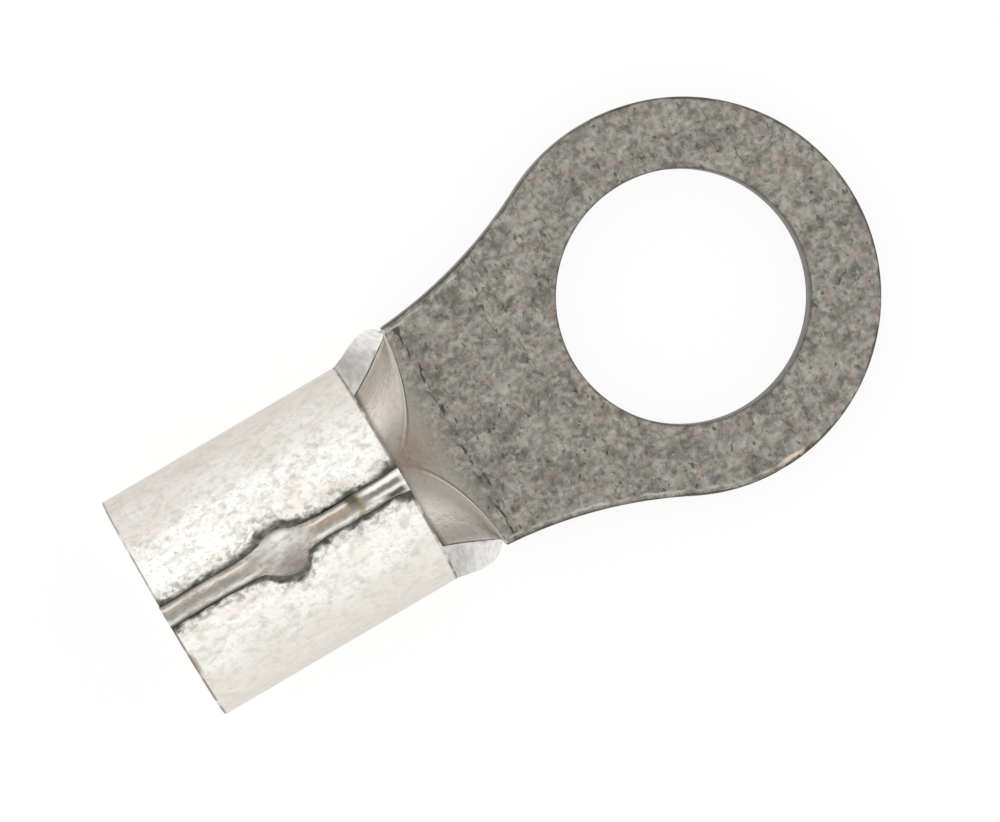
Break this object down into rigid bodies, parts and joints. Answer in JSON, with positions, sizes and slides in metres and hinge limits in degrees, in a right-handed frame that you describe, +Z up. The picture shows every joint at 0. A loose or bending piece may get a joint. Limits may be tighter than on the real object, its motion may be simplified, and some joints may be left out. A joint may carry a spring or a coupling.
{
  "type": "ring terminal",
  "caption": "Bare crimp ring terminal: flat ring tongue with a stud hole, flared neck and a rolled barrel closed by a brazed seam.",
  "frame": {"origin": "on the axis of the stud hole, on the underside of the tongue", "axes": "+X along the terminal away from the barrel, +Y to the side, +Z up from the tongue's underside towards the barrel's seam"},
  "size_m": [0.0134, 0.0066, 0.0041],
  "materials": {
    "tinned_copper": "matte electro-tinned copper sheet, mottled and coined on the tongue, brighter on the barrel",
    "tinned_braze": "brazing filler under the same tin plating, rippled as it froze"
  },
  "bodies": {
    "root": {"terminal_body": "tinned_copper", "braze_seam": "tinned_braze"}
  },
  "joints": []
}
